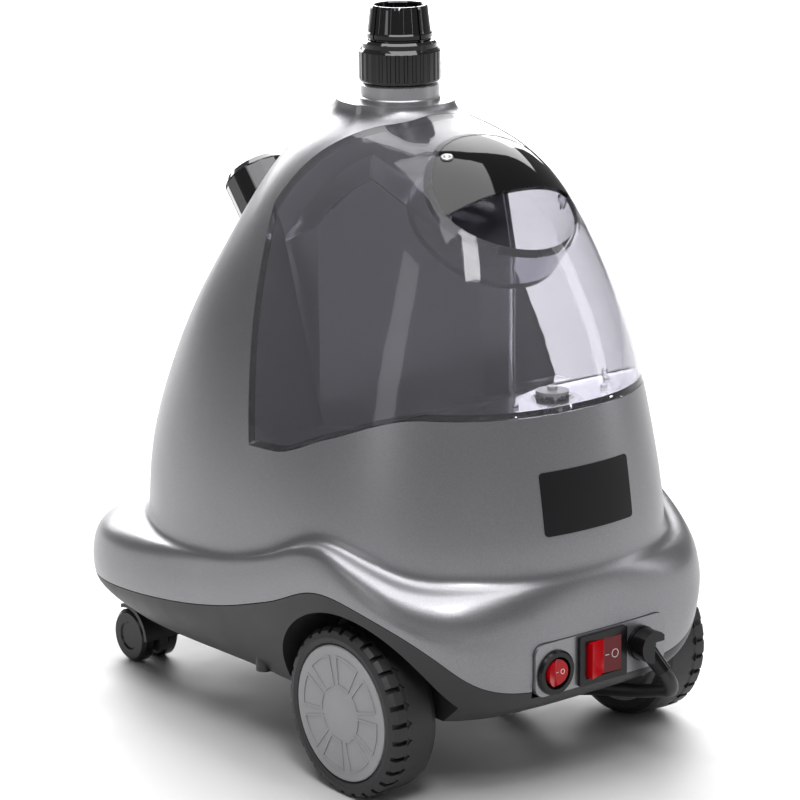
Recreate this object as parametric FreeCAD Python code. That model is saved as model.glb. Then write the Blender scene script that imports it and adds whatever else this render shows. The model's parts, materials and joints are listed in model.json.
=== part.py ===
import FreeCAD, Part

import math
import os

# Upright garment steamer: a bell-shaped base station on two large rear wheels and two front
# casters, with a lift-out clear water tank at the rear, a steam outlet on the front slope and
# a clamped socket for the garment pole on top.
# Millimetres.  +Z up, Z = 0 the floor, X = 0 the symmetry plane, +Y the front.

V = FreeCAD.Vector
X_AXIS, Y_AXIS, Z_AXIS = V(1, 0, 0), V(0, 1, 0), V(0, 0, 1)

# ---------------------------------------------------------------- driving dimensions
# Overall form
BODY_TOP = 327.0            # top face of the platform that carries the pole socket
BASE_BOTTOM = 44.0          # underside of the base tray
HALF_WIDTH = 113.0          # skirt, from the symmetry plane
FRONT_REACH = 190.0         # skirt, forwards of the pole axis
REAR_REACH = 154.5          # skirt, rearwards of the pole axis
SKIRT_SQUARENESS = 3.6      # superellipse exponent of the skirt's plan
BELL_SQUARENESS = 2.4       # superellipse exponent of the bell's plan
NECK_RADIUS = 26.5          # rear of the platform
WALL = 2.8                  # moulded housing and base
PARTING_GAP = 0.5           # shadow gap between housing and base

# Bell sections: height, half width, front reach, rear reach
BELL = [(60, 111, 156, 151), (100, 109.5, 155, 150), (128, 108, 154, 148.5), (150, 105.5, 149, 145.5),
        (170, 102, 141, 142), (196, 96.5, 129.5, 137.5), (223, 89, 114, 131.5), (249, 79, 96, 121.5),
        (265, 72, 86, 114), (286, 62, 71, 100), (296, 56, 63, 91), (307, 47, 53, 77),
        (315, 37, 41, 58), (320, 29, 29, 36), (322.5, 26.5, 26.5, 26.5)]
# Ridge that runs from the platform down the front slope: height, reach
RIDGE = [(150, 120), (196, 124), (223, 118), (252, 106), (290, 80), (327, 34)]
# Skirt heights along the length: position on the outline, height
PARTING = [(-154.5, 56), (-150, 60), (-142, 71), (-131, 82), (-111, 95), (-72, 104), (-30, 90),
           (10, 78), (50, 70), (130, 60), (190, 54)]
BAND_TOP = [(-154.5, 88), (-131, 94), (-100, 107), (-70, 121), (-22, 106), (15, 96), (100, 80), (190, 72)]
LEDGE_TOP = [(-154.5, 112), (-131, 112), (-100, 120), (-70, 128), (-22, 112), (15, 103), (100, 96), (190, 95)]
BASE_INSET = 17.0           # base sides lean in by this much at the bottom

# Water tank bay
BAY_SIDE_FOOT = (-5.0, 165.0)    # Y, Z where the tank's front edge meets its bottom edge
BAY_SLOPE = 0.24                 # forward lean of the tank's front edge
BAY_FLOOR = [(-170, 192), (-105, 191.5), (-59, 177), (-26, 165.3), (10, 164)]
NOSE_HALF = 9.4                  # flat of the inner prow
NOSE_REACH = 75.0
PROW_DEPTH = 13.0                # prow top below the outer surface
TANK_GAP = 0.4                   # tank to housing, all round
TANK_WALL = 2.4
POCKET_CENTRE = V(0, -83, 291)
POCKET_TILT = 40.0               # slope of the grip pocket's mouth from horizontal
POCKET_HALF_WIDTH = 40.0
POCKET_HALF_LENGTH = 37.5
POCKET_DEPTH = 24.0
VISOR_THICKNESS = 2.2

# Rolling gear
WHEEL_RADIUS = 43.1
WHEEL_WIDTH = 28.0
WHEEL_OUTER_X = 104.5
AXLE_Y = -79.0
AXLE_RADIUS = 4.0
RUNNING_GAP = 0.05
WELL_RADIUS = WHEEL_RADIUS + 9.4
WELL_Y = -82.0
CASTER_X, CASTER_Y = 60.0, 146.0
CASTER_RADIUS = 15.0
CASTER_TRAIL = 9.0

# Power cord, its stored coil and its plug
CORD_RADIUS = 3.5
COIL_X, COIL_Y = 80.0, 236.0
COIL_TURN_RADIUS = 49.0     # centre line of the outermost turn
COIL_OUTER, COIL_INNER = 52.9, 30.6
COIL_LOW, COIL_HIGH = 0.9, 15.5
PLUG_RADIUS = 18.5
PLUG_TOP = 27.0
PLUG_OFFSET = 47.0          # plug's middle, rearwards of the coil's middle
PIN_RADIUS, PIN_LENGTH, PIN_HALF_PITCH = 2.4, 19.0, 9.5

# The frame's origin is on the floor in the middle of the length, this far in front of the pole
ORIGIN_Y = 15.3


# ---------------------------------------------------------------- plain helpers
def cylinder(radius, height, base, axis=Z_AXIS):
    return Part.makeCylinder(radius, height, base, axis)


def ring(outer, inner, height, base, axis=Z_AXIS):
    step = V(axis).normalize()
    return cylinder(outer, height, base, axis).cut(
        cylinder(inner, height + 2.0, base - step, axis))


def block(x0, x1, y0, y1, z0, z1):
    return Part.makeBox(x1 - x0, y1 - y0, z1 - z0, V(x0, y0, z0))


def through(stations, x):
    """Monotone cubic curve through a short table of stations."""
    if x <= stations[0][0]:
        return stations[0][1]
    if x >= stations[-1][0]:
        return stations[-1][1]
    rises = [(b[1] - a[1]) / (b[0] - a[0]) for a, b in zip(stations, stations[1:])]

    def slope(i):
        if i == 0 or i == len(stations) - 1:
            return rises[min(i, len(rises) - 1)]
        before, after = rises[i - 1], rises[i]
        return 0.0 if before * after <= 0 else 2 * before * after / (before + after)

    for i, ((x0, y0), (x1, y1)) in enumerate(zip(stations, stations[1:])):
        if x <= x1:
            h = x1 - x0
            t = (x - x0) / h
            m0, m1 = slope(i) * h, slope(i + 1) * h
            return ((2 * t - 3) * t * t + 1) * y0 + (t - 2) * t * t * m0 + t * m0 \
                + (3 - 2 * t) * t * t * y1 + (t - 1) * t * t * m1
    return stations[-1][1]


# ---------------------------------------------------------------- outer form
def superellipse(c, s, a, b, n):
    return (abs(c / a) ** n + abs(s / b) ** n) ** (-1.0 / n)


def skirt_radius(angle):
    c, s = math.cos(angle), math.sin(angle)
    return superellipse(c, s, HALF_WIDTH, FRONT_REACH if s > 0 else REAR_REACH, SKIRT_SQUARENESS)


def bell_radius(angle, z):
    c, s = math.cos(angle), math.sin(angle)
    half = through([(row[0], row[1]) for row in BELL], z)
    reach = through([(row[0], row[2] if s > 0 else row[3]) for row in BELL], z)
    radius = superellipse(c, s, half, reach, BELL_SQUARENESS)
    if s <= 0:
        return radius
    w = NECK_RADIUS
    k = through(RIDGE, z) - w
    chord = w * w - (k * c) ** 2
    ridge = k * s + math.sqrt(chord) if chord > 0 else 0.0
    if ridge * s < k:
        ridge = w / max(abs(c), 0.05)
    return (radius ** 10 + ridge ** 10) ** 0.1


def profile(angle):
    """Radius and height up one side of the form, from the base's edge to the platform."""
    skirt = skirt_radius(angle)
    y = skirt * math.sin(angle)
    parting, band, ledge = through(PARTING, y), through(BAND_TOP, y), through(LEDGE_TOP, y)
    points = []
    for t in (0.0, 0.08, 0.25, 0.5, 0.75):
        points.append((skirt - 1.0 - BASE_INSET * (1 - t) ** 1.8, BASE_BOTTOM + (parting - BASE_BOTTOM) * t))
    for t in (0.0, 0.35, 0.7, 1.0):
        points.append((skirt - 1.0 + math.sin(math.pi * t), parting + (band - parting) * t))
    bell = bell_radius(angle, ledge) + 1.0
    for t in (0.22, 0.42, 0.6, 0.76, 0.9):
        a = t * math.pi / 2
        points.append((bell + (skirt - 1.0 - bell) * math.cos(a), band + (ledge - band) * math.sin(a)))
    for t in (0.012, 0.04, 0.09, 0.17, 0.26, 0.36, 0.46, 0.56, 0.65, 0.73, 0.79, 0.84, 0.88, 0.915, 0.94,
              0.958, 0.972, 0.985, 1.0):
        z = ledge + (BODY_TOP - ledge) * t
        points.append((bell_radius(angle, z), z))
    return points


def inset(points, depth):
    """Move a profile inwards by depth, square to itself."""
    if depth == 0:
        return points
    moved = []
    last = len(points) - 1
    for i, (r, z) in enumerate(points):
        before, after = points[max(i - 1, 0)], points[min(i + 1, last)]
        dr, dz = after[0] - before[0], after[1] - before[1]
        length = math.hypot(dr, dz)
        moved.append([r - depth * dz / length, z + depth * dr / length])
    moved[0][1] = BASE_BOTTOM + depth
    moved[-1][1] = BODY_TOP - depth
    return moved


def form(depth=0.0, count=72):
    """The whole outer form as one smooth solid, shrunk inwards by depth.

    The points of the profiles are the poles of one cubic surface, closed around the body.
    """
    columns = [inset(profile(2 * math.pi * i / count), depth) for i in range(count)]
    rows = len(columns[0])
    poles = []
    for i, column in enumerate(columns):
        angle = 2 * math.pi * i / count
        poles.append([V(r * math.cos(angle), r * math.sin(angle), z) for r, z in column])
    surface = Part.BSplineSurface()
    surface.buildFromPolesMultsKnots(
        poles, [1] * (count + 1), [4] + [1] * (rows - 4) + [4],
        [float(k) for k in range(count + 1)], [float(k) for k in range(rows - 2)], True, False, 3, 3)
    side = surface.toShape()
    rims = [edge for edge in side.Edges if edge.BoundBox.ZLength < 0.001]
    caps = [Part.Face(Part.Wire([edge])) for edge in rims]
    shell = Part.makeShell([side] + caps)
    shell.sewShape()
    solid = Part.Solid(shell)
    if solid.Volume < 0:
        solid.reverse()
    return solid


# ---------------------------------------------------------------- cutting regions
REGION_HALF = HALF_WIDTH + 27.0     # half width of every region solid, beyond the body's sides
SKY = BODY_TOP + 93.0       # above everything


def curve_edge(stations, low, high, shift, steps=28):
    points = []
    for i in range(steps + 1):
        y = low + (high - low) * i / steps
        points.append(V(-REGION_HALF, y, through(stations, y) + shift))
    curve = Part.BSplineCurve()
    curve.interpolate(points)
    return curve.toShape(), points[0], points[-1]


def extrude_side(edge, start, end, corners):
    """Close a side-view edge with straight lines through corners and extrude it across the body."""
    path = [end] + [V(-REGION_HALF, y, z) for y, z in corners] + [start]
    lines = [Part.makeLine(p, q) for p, q in zip(path, path[1:])]
    face = Part.Face(Part.Wire([edge] + lines))
    return face.extrude(V(2 * REGION_HALF, 0, 0))


def below_parting(shift):
    rear, front = -REAR_REACH - 20.5, FRONT_REACH + 25.0
    edge, start, end = curve_edge(PARTING, rear, front, shift)
    return extrude_side(edge, start, end, [(front, -20.0), (rear, -20.0)])


def collar_prism(shrink):
    """Plan of the housing's shoulder that stays in front of the tank, around the pole socket."""
    normal_x, normal_y = 0.765, 0.644
    rear, side, front = -(29.0 - shrink), 34.3 - shrink, 60.0
    x_rear = (side + normal_y * rear) / normal_x
    x_front = (side + normal_y * front) / normal_x
    corners = [V(-x_front, front, 100), V(-x_rear, rear, 100), V(x_rear, rear, 100), V(x_front, front, 100)]
    prism = Part.Face(Part.makePolygon(corners + corners[:1])).extrude(V(0, 0, SKY - 100))
    rear_edges = [e for e in prism.Edges if e.BoundBox.ZLength > 200 and e.BoundBox.YMax < 0]
    return prism.makeFillet(18.0, rear_edges)


def bay(grow):
    """The space behind the housing that holds the water tank, grown outwards into the housing."""
    foot_y, foot_z = BAY_SIDE_FOOT
    forward = grow * math.hypot(1.0, BAY_SLOPE)
    edge, start, end = curve_edge(BAY_FLOOR, -170.0, foot_y + forward, -grow)
    top_y = foot_y + forward + BAY_SLOPE * (SKY - end.z)
    solid = extrude_side(edge, start, end, [(top_y, SKY), (-170.0, SKY)])
    return solid.cut(collar_prism(grow))


def slope_direction():
    tilt = math.radians(POCKET_TILT)
    return V(0, -math.sin(tilt), math.cos(tilt))


def prow(grow):
    """Blunt inner prow of the housing that stands inside the horseshoe of the tank."""
    half = [(NOSE_HALF, -NOSE_REACH), (56.0, -4.0), (66.0, 45.0)]
    plan = [V(x, y, 150) for x, y in half] + [V(-x, y, 150) for x, y in reversed(half)]
    prism = Part.Face(Part.makePolygon(plan + plan[:1])).extrude(V(0, 0, SKY - 150))
    nose = [e for e in prism.Edges if e.BoundBox.ZLength > 200 and e.BoundBox.YMax < -60]
    prism = prism.makeFillet(5.0, nose)
    if grow:
        plan_face = [f for f in prism.Faces if f.BoundBox.ZMax < 151][0]
        prism = plan_face.makeOffset2D(grow).extrude(V(0, 0, SKY - 150))
    solid = prism.common(form(PROW_DEPTH - grow))
    away = slope_direction()
    drop = POCKET_DEPTH + 2 * TANK_WALL + TANK_GAP + 4.0 - grow
    plane_point = POCKET_CENTRE - away * drop
    cutter = Part.makeBox(200, 200, 100, V(-100, -100, 0))
    cutter.Placement = FreeCAD.Placement(plane_point, FreeCAD.Rotation(Z_AXIS, away))
    return solid.cut(cutter)


def pocket_prism(grow, low, high):
    """Elliptical prism through the grip pocket, square to the pocket's mouth."""
    ellipse = Part.Ellipse(V(0, 0, 0), POCKET_HALF_WIDTH + grow, POCKET_HALF_LENGTH + grow)
    prism = Part.Face(Part.Wire([ellipse.toShape()])).extrude(V(0, 0, high - low))
    prism.translate(V(0, 0, low))
    prism.Placement = FreeCAD.Placement(
        POCKET_CENTRE, FreeCAD.Rotation(X_AXIS, POCKET_TILT)).multiply(prism.Placement)
    return prism


def in_pocket_frame(shape):
    """Move a shape drawn about the origin, +Z outwards, to the grip pocket's mouth."""
    shape.Placement = FreeCAD.Placement(
        POCKET_CENTRE, FreeCAD.Rotation(X_AXIS, POCKET_TILT)).multiply(shape.Placement)
    return shape


def rounded_block(x0, x1, y0, y1, z0, z1, radius, axis):
    """A block whose edges along one axis are rounded."""
    solid = block(x0, x1, y0, y1, z0, z1)
    name = {"x": "XLength", "y": "YLength", "z": "ZLength"}[axis]
    size = {"x": x1 - x0, "y": y1 - y0, "z": z1 - z0}[axis]
    others = [k for k in ("XLength", "YLength", "ZLength") if k != name]
    edges = []
    for edge in solid.Edges:
        box = edge.BoundBox
        if abs(getattr(box, name) - size) < 0.01 and all(getattr(box, k) < 0.01 for k in others):
            edges.append(edge)
    return solid.makeFillet(radius, edges)


def mirrored(shape):
    return shape.mirror(V(0, 0, 0), X_AXIS)


def turned(profile_points, centre=V(0, 0, 0), axis=Z_AXIS):
    """Solid of revolution from radius and height pairs, about an axis through centre."""
    wire = Part.makePolygon([V(r, 0, z) for r, z in profile_points + profile_points[:1]])
    solid = Part.Face(wire).revolve(V(0, 0, 0), Z_AXIS, 360)
    solid.Placement = FreeCAD.Placement(centre, FreeCAD.Rotation(Z_AXIS, axis))
    return solid


def repeated(shape, count, centre, axis, start=0.0):
    copies = []
    for i in range(count):
        copy = shape.copy()
        copy.rotate(centre, axis, start + 360.0 * i / count)
        copies.append(copy)
    return copies


def route_edges(points, label):
    """Straight runs joined by tangent arcs, each as large as its two runs allow."""
    runs = [(b - a).Length for a, b in zip(points, points[1:])]
    edges, start, radii = [], points[0], []
    for i in range(1, len(points) - 1):
        back = V(points[i - 1] - points[i]).normalize()
        ahead = V(points[i + 1] - points[i]).normalize()
        reach = 0.45 * min(runs[i - 1], runs[i])
        half_turn = (math.pi - back.getAngle(ahead)) / 2
        radius = reach / math.tan(half_turn)
        radii.append(round(radius, 1))
        first, last = points[i] + back * reach, points[i] + ahead * reach
        bisector = V(back + ahead).normalize()
        centre = points[i] + bisector * (radius / math.cos(half_turn))
        edges.append(Part.makeLine(start, first))
        edges.append(Part.Arc(first, centre - bisector * radius, last).toShape())
        start = last
    edges.append(Part.makeLine(start, points[-1]))
    print(label, "length", round(sum(e.Length for e in edges), 1), "radii", radii)
    return edges


def pipe(points, radius, label, bore=0.0):
    wire = Part.Wire(route_edges(points, label))
    heading = points[1] - points[0]
    section = Part.Wire([Part.makeCircle(radius, points[0], heading)])
    solid = wire.makePipeShell([section], True, False)
    if bore:
        inner = Part.Wire([Part.makeCircle(bore, points[0], heading)])
        solid = solid.cut(wire.makePipeShell([inner], True, False))
    return solid


# ---------------------------------------------------------------- everything is kept here
parts = {}


# ---------------------------------------------------------------- pole socket on the platform
POLE_BORE = 12.5            # radius that the garment pole enters
SOCKET_WALL = 3.5
SOCKET_RADIUS = POLE_BORE + SOCKET_WALL
SOCKET_TOP = BODY_TOP + 20.0
SOCKET_FLOOR = 213.0
COLLAR_TOP = BODY_TOP + 9.0
COLLAR_RADIUS = SOCKET_RADIUS + 4.0
NUT_RADIUS = SOCKET_RADIUS + 4.8
NUT_BOTTOM = COLLAR_TOP + 0.6
NUT_TOP = NUT_BOTTOM + 21.0
COLLET_RADIUS = POLE_BORE + 3.1
COLLET_TOP = NUT_TOP + 17.6
FIT_GAP = 0.1               # fixed pieces in their holes

parts["pole_socket_tube"] = turned([
    (0, SOCKET_FLOOR - 3), (SOCKET_RADIUS, SOCKET_FLOOR - 3), (SOCKET_RADIUS, BODY_TOP - WALL - 3.3),
    (SOCKET_RADIUS + 5.5, BODY_TOP - WALL - 3.3), (SOCKET_RADIUS + 5.5, BODY_TOP - WALL - 0.1),
    (SOCKET_RADIUS, BODY_TOP - WALL - 0.1), (SOCKET_RADIUS, SOCKET_TOP), (POLE_BORE, SOCKET_TOP),
    (POLE_BORE, SOCKET_FLOOR), (0, SOCKET_FLOOR)])
parts["socket_collar"] = turned([
    (SOCKET_RADIUS + FIT_GAP, BODY_TOP), (COLLAR_RADIUS + 0.6, BODY_TOP),
    (COLLAR_RADIUS + 0.6, BODY_TOP + 1.6), (COLLAR_RADIUS, BODY_TOP + 2.2),
    (COLLAR_RADIUS, COLLAR_TOP - 1.0), (COLLAR_RADIUS - 1.0, COLLAR_TOP),
    (SOCKET_RADIUS + FIT_GAP, COLLAR_TOP)])


def make_clamp_nut():
    inner = SOCKET_RADIUS + RUNNING_GAP
    body = turned([
        (inner, NUT_BOTTOM), (NUT_RADIUS - 0.8, NUT_BOTTOM), (NUT_RADIUS, NUT_BOTTOM + 0.8),
        (NUT_RADIUS, NUT_BOTTOM + 15.5), (NUT_RADIUS - 1.6, NUT_BOTTOM + 17.5),
        (NUT_RADIUS - 1.6, NUT_TOP - 1.2),
        (NUT_RADIUS - 2.8, NUT_TOP), (COLLET_RADIUS + 0.7, NUT_TOP),
        (COLLET_RADIUS + 0.7, SOCKET_TOP + 6.0), (inner, SOCKET_TOP + 3.0)])
    groove = cylinder(1.15, 14.0, V(NUT_RADIUS + 0.35, 0, NUT_BOTTOM + 1.6))
    scallop = cylinder(7.0, 9.0, V(NUT_RADIUS + 5.2, 0, NUT_BOTTOM + 16.4))
    cuts = repeated(groove, 30, V(0, 0, 0), Z_AXIS) + repeated(scallop, 6, V(0, 0, 0), Z_AXIS, 30)
    return body.cut(cuts)


def make_collet():
    body = turned([
        (POLE_BORE, SOCKET_TOP), (COLLET_RADIUS, SOCKET_TOP), (COLLET_RADIUS, NUT_TOP + 0.8),
        (COLLET_RADIUS + 1.1, NUT_TOP + 1.4), (COLLET_RADIUS + 1.1, NUT_TOP + 3.4),
        (COLLET_RADIUS + 0.5, NUT_TOP + 4.2), (COLLET_RADIUS - 1.0, COLLET_TOP - 1.4),
        (COLLET_RADIUS - 1.7, COLLET_TOP), (POLE_BORE + 0.6, COLLET_TOP), (POLE_BORE, COLLET_TOP - 0.8)])
    flute = cylinder(1.7, 30.0, V(0, 0, 0))
    flute.Placement = FreeCAD.Placement(
        V(COLLET_RADIUS + 1.7, 0, NUT_TOP + 4.6), FreeCAD.Rotation(Y_AXIS, -7.5))
    slit = block(0, NUT_RADIUS, -0.5, 0.5, SOCKET_TOP + 8.0, COLLET_TOP + 1)
    return body.cut(repeated(flute, 16, V(0, 0, 0), Z_AXIS, 11.25) + repeated(slit, 4, V(0, 0, 0), Z_AXIS))


parts["clamp_nut"] = make_clamp_nut()
parts["pole_collet"] = make_collet()

# ---------------------------------------------------------------- steam outlet on the front slope
OUTLET_TILT = 40.0          # outlet axis from vertical, leaning forwards
OUTLET_SEAT = V(0, 107.0, 251.6)
OUTLET_BORE = 8.0
SPIGOT_RADIUS = OUTLET_BORE + 2.8
RING_RADIUS = SPIGOT_RADIUS + 8.4
PIPE_RADIUS, PIPE_BORE = 7.0, 5.0    # steam pipe, pushed into the spigot's foot
SPIGOT_FOOT, PIPE_ENTRY = -26.0, 8.0
RING_LENGTH = 28.0
RING_FACETS = 14

lean = math.radians(OUTLET_TILT)
outlet_axis = V(0, math.sin(lean), math.cos(lean))


def at_outlet(distance):
    return OUTLET_SEAT + outlet_axis * distance


parts["outlet_spigot"] = turned([
    (PIPE_RADIUS + FIT_GAP, SPIGOT_FOOT), (SPIGOT_RADIUS, SPIGOT_FOOT), (SPIGOT_RADIUS, -11.0),
    (SPIGOT_RADIUS + 3.2, -11.0), (SPIGOT_RADIUS + 3.2, -8.0), (SPIGOT_RADIUS, -8.0),
    (SPIGOT_RADIUS, 25.0), (OUTLET_BORE, 25.0), (OUTLET_BORE, SPIGOT_FOOT + PIPE_ENTRY),
    (PIPE_RADIUS + FIT_GAP, SPIGOT_FOOT + PIPE_ENTRY)], OUTLET_SEAT, outlet_axis)


def make_outlet_ring():
    body = turned([
        (SPIGOT_RADIUS + 0.3, 0.5), (RING_RADIUS - 1.2, 0.5), (RING_RADIUS, 1.8),
        (RING_RADIUS, RING_LENGTH - 3.0),
        (RING_RADIUS - 2.2, RING_LENGTH), (SPIGOT_RADIUS + 3.8, RING_LENGTH),
        (SPIGOT_RADIUS + 2.6, RING_LENGTH - 1.2), (SPIGOT_RADIUS + 2.6, 9.0),
        (SPIGOT_RADIUS + 0.3, 6.0)])
    facet = block(RING_RADIUS - 0.55, RING_RADIUS + 4, -3.9, 3.9, 3.0, RING_LENGTH - 3.4)
    body = body.cut(repeated(facet, RING_FACETS, V(0, 0, 0), Z_AXIS))
    body.Placement = FreeCAD.Placement(OUTLET_SEAT, FreeCAD.Rotation(Z_AXIS, outlet_axis))
    return body


parts["outlet_ring"] = make_outlet_ring()
seal = Part.makeTorus(SPIGOT_RADIUS + 1.25, 1.2)
seal.Placement = FreeCAD.Placement(at_outlet(20.0), FreeCAD.Rotation(Z_AXIS, outlet_axis))
parts["outlet_seal"] = seal

# ---------------------------------------------------------------- water tank and its valve
NIPPLE_RADIUS, NIPPLE_BORE = 6.0, 4.0
HOSE_WALL = 2.0
HOSE_OVERLAP = 7.5          # hose over each nipple
VALVE_Y = -117.0
NECK_BORE = 8.6
NECK_OUTER = NECK_BORE + 1.9
CAP_RADIUS = NECK_OUTER + 1.7
DECK = BAY_FLOOR[0][1]
TANK_FLOOR = DECK + TANK_GAP
CAP_BOTTOM = DECK - 11.5
CAP_FLOOR = CAP_BOTTOM + 2.4
CAP_TOP = TANK_FLOOR - 1.2
NECK_BOTTOM = TANK_FLOOR - 8.0
CAGE_TOP = CAP_BOTTOM + 17.0
CAGE_RADIUS = NECK_BORE - 0.6
STEM_RADIUS = 2.4           # valve stem in its guide
VALVE_HOLE = 4.6
valve = V(0, VALVE_Y, 0)


def at_valve(z):
    return V(0, VALVE_Y, z)


def make_tank():
    outer = form().common(bay(-TANK_GAP)).cut(prow(TANK_GAP))
    cavity = form(TANK_WALL).common(bay(-TANK_GAP - TANK_WALL)).cut(prow(TANK_GAP + TANK_WALL))
    cup = pocket_prism(TANK_WALL, -POCKET_DEPTH - TANK_WALL, 60.0).common(outer)
    tank = outer.cut(cavity).fuse(cup).cut(pocket_prism(0, -POCKET_DEPTH, 60.0))
    neck = cylinder(NECK_OUTER, 10.0, at_valve(NECK_BOTTOM))
    tank = tank.fuse(neck).cut(cylinder(NECK_BORE, 20.0, at_valve(NECK_BOTTOM - 1.0)))
    pips = [cylinder(1.6, 2.2, V(x, y, DECK + TANK_GAP + 1.4))
            for x, y in ((-40, -112), (-28, -122), (30, -121), (42, -110), (52, -98))]
    return tank.fuse(pips)


def make_visor():
    shell = form(0.2).cut(form(0.2 + VISOR_THICKNESS)).common(pocket_prism(-0.1, -20, 60))
    lower_half = in_pocket_frame(block(-60, 60, -80, -5.0, -60, 80))
    return shell.cut(lower_half)


parts["water_tank"] = make_tank()
parts["grip_visor"] = make_visor()


def make_cap():
    """Screw cap with a knurled rim and a three-legged cage that guides the valve."""
    cap = turned([
        (VALVE_HOLE, CAP_BOTTOM), (CAP_RADIUS - 1.0, CAP_BOTTOM), (CAP_RADIUS, CAP_BOTTOM + 1.0),
        (CAP_RADIUS, CAP_TOP), (NECK_OUTER + FIT_GAP, CAP_TOP),
        (NECK_OUTER + FIT_GAP, CAP_FLOOR), (VALVE_HOLE, CAP_FLOOR)])
    knurl = cylinder(1.0, 9.0, V(CAP_RADIUS + 0.4, 0, CAP_BOTTOM + 0.8))
    rib = block(CAGE_RADIUS - 1.6, CAGE_RADIUS, -1.0, 1.0, CAP_FLOOR - 0.2, CAGE_TOP)
    cap = cap.cut(repeated(knurl, 18, V(0, 0, 0), Z_AXIS))
    guide = ring(CAGE_RADIUS, STEM_RADIUS + RUNNING_GAP, 1.6, V(0, 0, CAGE_TOP - 1.6))
    cap = cap.fuse(repeated(rib, 3, V(0, 0, 0), Z_AXIS) + [guide])
    cap.translate(valve)
    return cap


parts["tank_cap"] = make_cap()
parts["cap_seal"] = turned([
    (NECK_BORE + 0.1, CAP_FLOOR), (NECK_OUTER - 0.1, CAP_FLOOR), (NECK_OUTER - 0.1, NECK_BOTTOM - 0.05),
    (NECK_BORE + 0.1, NECK_BOTTOM - 0.05)], valve)
parts["valve_plunger"] = turned([
    (0, CAP_BOTTOM - 1.2), (VALVE_HOLE - 2.0, CAP_BOTTOM - 1.2), (VALVE_HOLE - 2.0, CAP_FLOOR + 0.3),
    (VALVE_HOLE + 1.4, CAP_FLOOR + 0.3), (VALVE_HOLE + 1.4, CAP_FLOOR + 2.4), (STEM_RADIUS, CAP_FLOOR + 2.4),
    (STEM_RADIUS, CAGE_TOP + 2.0), (0, CAGE_TOP + 2.0)], valve)
SPRING_LOW, SPRING_HIGH = CAP_FLOOR + 2.6, CAGE_TOP - 1.8
parts["valve_spring"] = ring(
    STEM_RADIUS + 2.0, STEM_RADIUS + 0.8, SPRING_HIGH - SPRING_LOW, at_valve(SPRING_LOW))

RECEIVER_WALL = 1.8
RECEIVER_BORE = CAP_RADIUS + 0.3      # the cap drops in with this much to spare
RECEIVER_RADIUS = RECEIVER_BORE + RECEIVER_WALL
FLANGE_RADIUS = RECEIVER_RADIUS + 2.2
NIPPLE_END = CAP_BOTTOM - 20.0
RECEIVER_TOP = DECK - 1.0
FLANGE_TOP = DECK - WALL - 1.0
receiver = turned([
    (NIPPLE_BORE, NIPPLE_END), (NIPPLE_RADIUS, NIPPLE_END), (NIPPLE_RADIUS, CAP_BOTTOM - 4.6),
    (RECEIVER_RADIUS, CAP_BOTTOM - 4.6), (RECEIVER_RADIUS, FLANGE_TOP - 2.4),
    (FLANGE_RADIUS, FLANGE_TOP - 2.4),
    (FLANGE_RADIUS, FLANGE_TOP), (RECEIVER_RADIUS, FLANGE_TOP), (RECEIVER_RADIUS, RECEIVER_TOP),
    (RECEIVER_BORE, RECEIVER_TOP), (RECEIVER_BORE, CAP_BOTTOM - 2.2), (NIPPLE_BORE, CAP_BOTTOM - 2.2)], valve)
pin_cross = block(-4.5, 4.5, -0.8, 0.8, CAP_BOTTOM - 3.6, CAP_BOTTOM - 2.2)
pin_cross.translate(valve)
parts["tank_receiver"] = receiver.fuse([
    pin_cross, cylinder(1.6, 1.2, at_valve(CAP_BOTTOM - 2.8))])

# ---------------------------------------------------------------- upper housing
PANEL_HALF, PANEL_LOW, PANEL_HIGH = 43.0, 57.0, 84.0
PANEL_FACE = -154.4
PANEL_BACK = -148.0
SWITCH_HEIGHT = 70.0


def make_housing():
    outer = form().cut(below_parting(PARTING_GAP / 2)).cut(bay(0.0)).fuse(prow(0.0))
    seat = cylinder(RING_RADIUS + 0.6, 16.0, at_outlet(-16.0), outlet_axis).common(
        block(-60, 60, 40, 200, 215, 330))
    outer = outer.cut(cylinder(RING_RADIUS + 0.6, 40.0, at_outlet(0.0), outlet_axis))
    seat_skin = seat.cut(cylinder(RING_RADIUS - 1.6, 14.0, at_outlet(-18.0), outlet_axis))
    void = form(WALL).cut(bay(WALL)).fuse(prow(-WALL)).cut(seat_skin)
    housing = outer.fuse(seat_skin).cut(void)
    panel_window = rounded_block(
        -PANEL_HALF, PANEL_HALF, -180.0, -140.0, PANEL_LOW - 30, PANEL_HIGH, 6.0, "y")
    holes = [
        cylinder(SOCKET_RADIUS + FIT_GAP, 30.0, V(0, 0, BODY_TOP - 20)),
        cylinder(SPIGOT_RADIUS + FIT_GAP, 40.0, at_outlet(-30.0), outlet_axis),
        cylinder(RECEIVER_RADIUS + FIT_GAP, 30.0, at_valve(DECK - 20)),
        panel_window]
    return housing.cut(holes)


parts["upper_housing"] = make_housing()

# ---------------------------------------------------------------- base tray
WELL_INNER_X = WHEEL_OUTER_X - WHEEL_WIDTH - 2.5
EAR_X0, EAR_X1, EAR_RADIUS = WELL_INNER_X - 16.0, WELL_INNER_X, AXLE_RADIUS + 5.5
CASTER_STEM = 4.0
SCREW_SPOTS = [(-78, 95), (78, 95), (-96, -5), (96, -5), (-45, -132), (45, -132)]
axle_line = V(0, AXLE_Y, WHEEL_RADIUS)


def both_sides(shape):
    return [shape, mirrored(shape)]


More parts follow.
